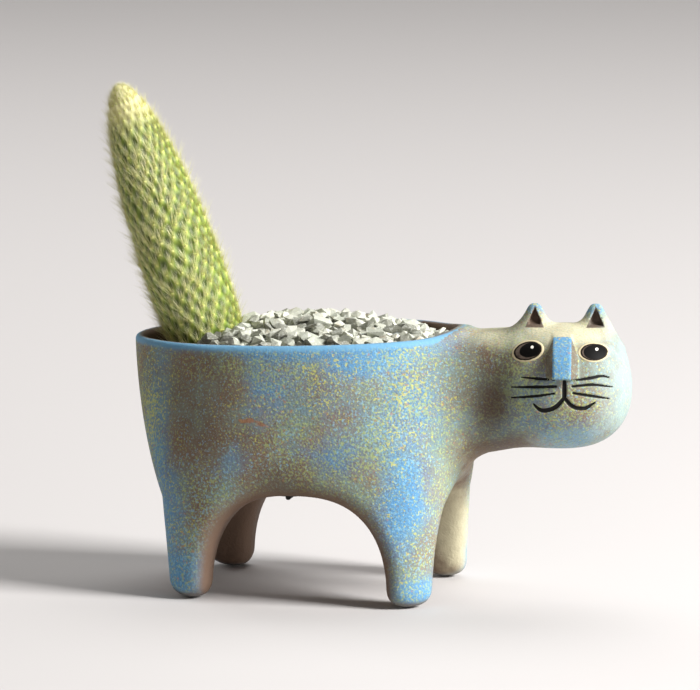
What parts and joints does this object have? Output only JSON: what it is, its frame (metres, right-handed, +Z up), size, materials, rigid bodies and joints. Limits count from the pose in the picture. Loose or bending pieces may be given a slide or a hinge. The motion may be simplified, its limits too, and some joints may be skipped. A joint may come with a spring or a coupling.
{
  "type": "animal shaped planter",
  "caption": "Cat-shaped planter: an oval tub on legs with a turned head, topped with gravel, a columnar cactus standing as its tail, and a rubber drain plug under the belly.",
  "frame": {"origin": "on the table, under the middle of the whole figure", "axes": "+X from the cactus tail to the cat's head, +Y to the cat's left side, +Z up"},
  "size_m": [0.2588, 0.106, 0.2407],
  "materials": {
    "painted_ceramic": "matt sprayed paint, blue over brown with yellow flecks",
    "black_rubber": "matt",
    "screen_plastic": "matt",
    "potting_soil": "peat and bark crumbs",
    "cactus_flesh": "waxy green skin",
    "cactus_bristle": "pale straw bristles",
    "pale_stone": "broken stone",
    "grey_stone": "broken stone"
  },
  "bodies": {
    "planter": {"planter_shell": "painted_ceramic", "drain_screen": "screen_plastic", "potting_mix": "potting_soil", "cactus_root_ball": "potting_soil", "cactus_stem": "cactus_flesh", "cactus_spines": "cactus_bristle", "gravel_bed": "grey_stone", "gravel_chips_pale": "pale_stone", "gravel_chips_grey": "grey_stone"},
    "plug": {"drain_plug": "black_rubber"}
  },
  "joints": [
    {"name": "drain_plug_pull", "type": "slide", "parent": "planter", "child": "plug", "axis": [0, 0, -1], "range_m": [0, 0.02]}
  ]
}
